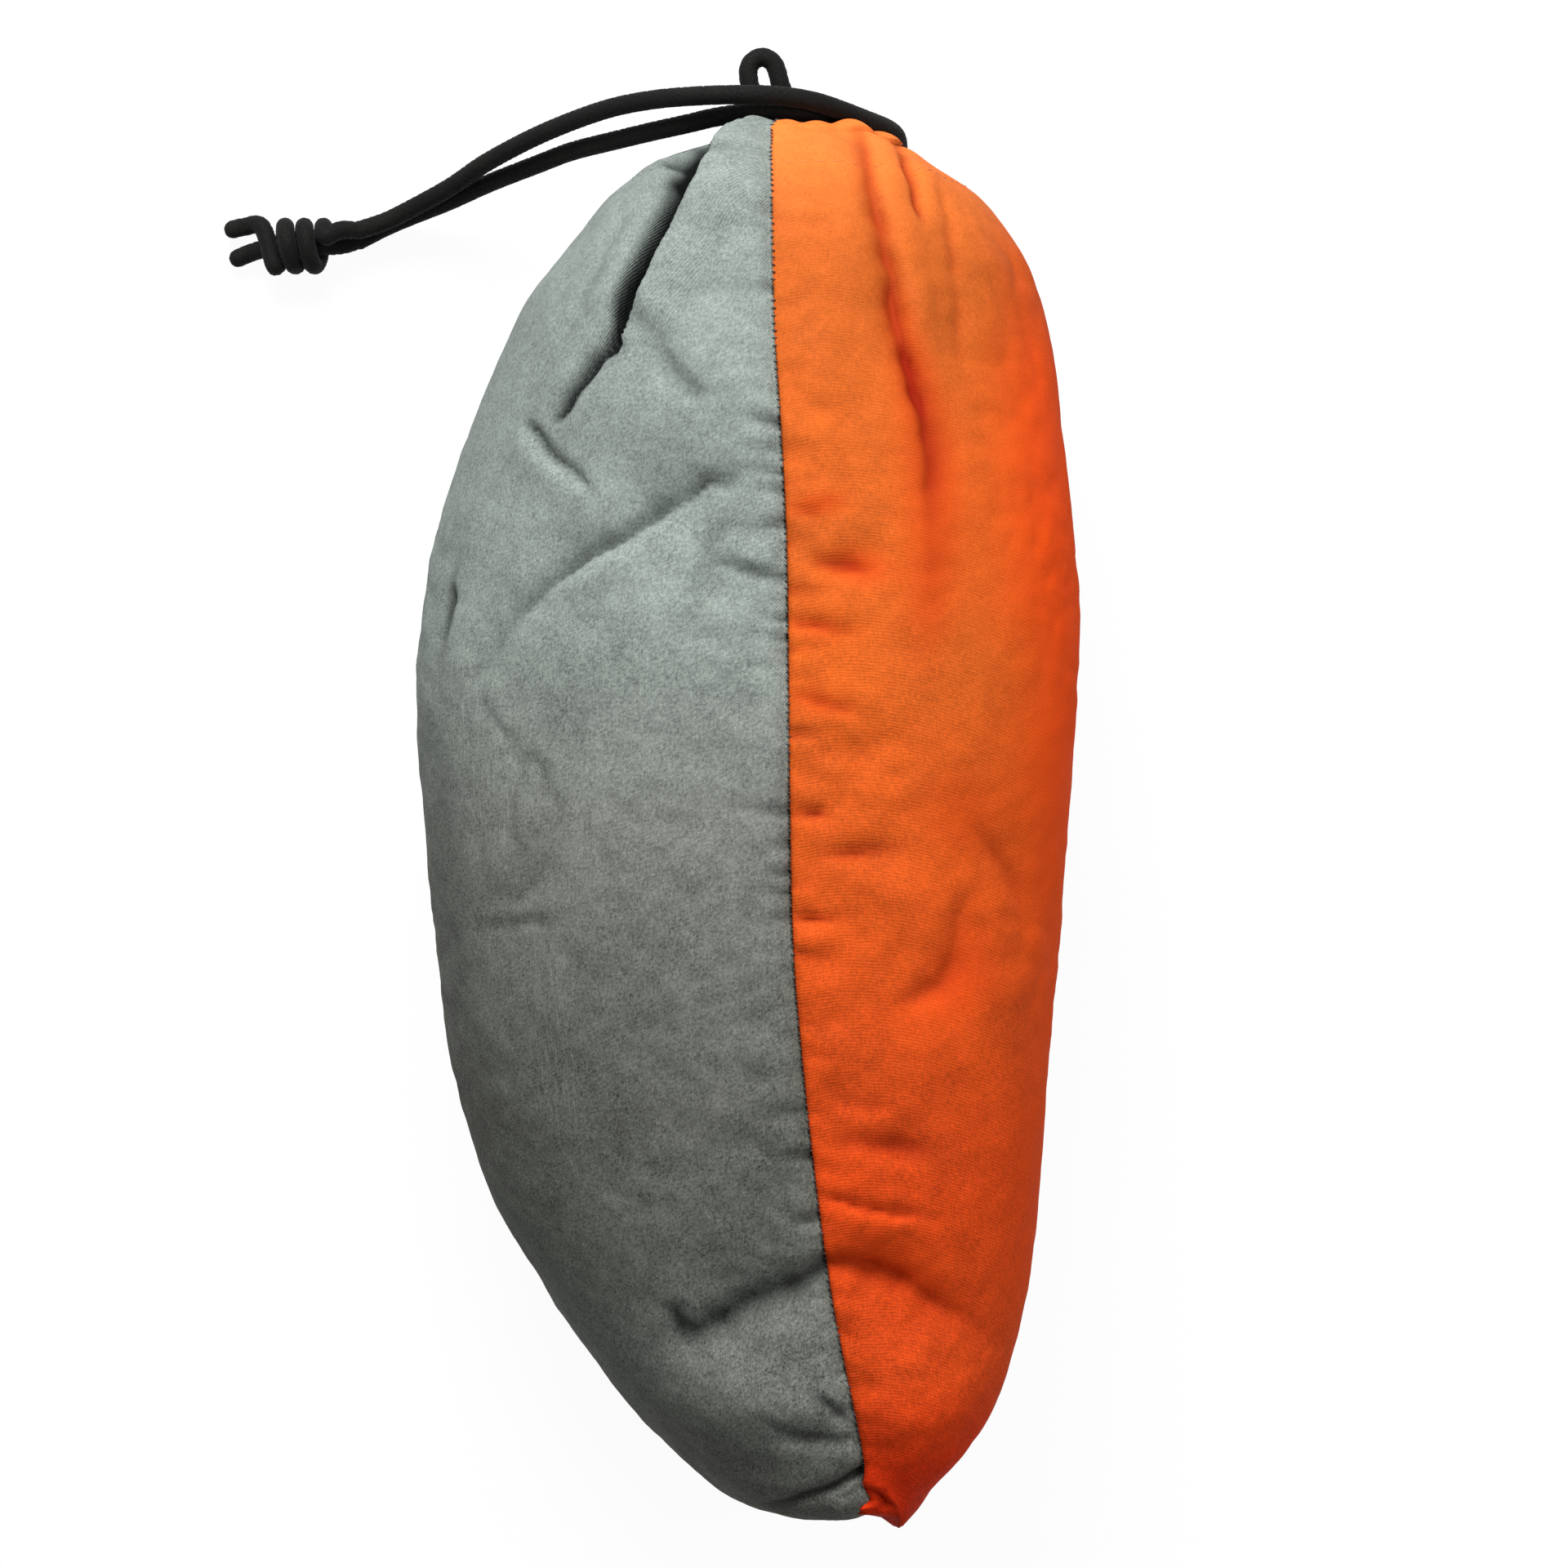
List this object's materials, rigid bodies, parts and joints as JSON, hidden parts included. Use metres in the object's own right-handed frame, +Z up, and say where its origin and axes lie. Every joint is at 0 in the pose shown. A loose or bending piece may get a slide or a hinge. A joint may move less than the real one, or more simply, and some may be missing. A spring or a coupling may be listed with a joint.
{
  "type": "stuff sack",
  "caption": "Cinched drawcord stuff sack packed full, with a grey and an orange cloth panel sewn along front, back and bottom, a casing round the mouth, black drawcord and hang loop.",
  "frame": {"origin": "on the floor, under the middle of the sack with its hang loop, without the free drawcord", "axes": "+Y from the bottom seam to the mouth, +Z up from the floor through the front seam, +X to the orange panel"},
  "size_m": [0.1421, 0.2512, 0.078],
  "materials": {
    "grey_cloth": "thin grey nylon with a soft sheen",
    "orange_cloth": "thin orange nylon with a soft sheen",
    "seam_cloth": "overlocked cloth edges",
    "bundle_cloth": "loosely packed cloth",
    "black_cord": "matt braided black cord"
  },
  "bodies": {
    "sack": {"grey_panel": "grey_cloth", "orange_panel": "orange_cloth", "grey_casing": "grey_cloth", "orange_casing": "orange_cloth", "front_seam_allowance": "seam_cloth", "back_seam_allowance": "seam_cloth", "bottom_seam_allowance": "seam_cloth", "packed_contents": "bundle_cloth", "drawcord_neck_ring": "black_cord"},
    "drawcord": {"drawcord_upper_strand": "black_cord", "drawcord_lower_strand": "black_cord", "drawcord_end_knot": "black_cord"},
    "hang_loop": {"hang_loop": "black_cord"}
  },
  "joints": [
    {"name": "drawcord_pull", "type": "slide", "parent": "sack", "child": "drawcord", "axis": [0, 1, 0], "range_m": [0, 0.015]},
    {"name": "hang_loop_swing", "type": "hinge", "parent": "sack", "child": "hang_loop", "pos_m": [0.0078, 0.10633, 0.035], "axis": [1, 0, 0], "range_deg": [-35, 8]}
  ]
}
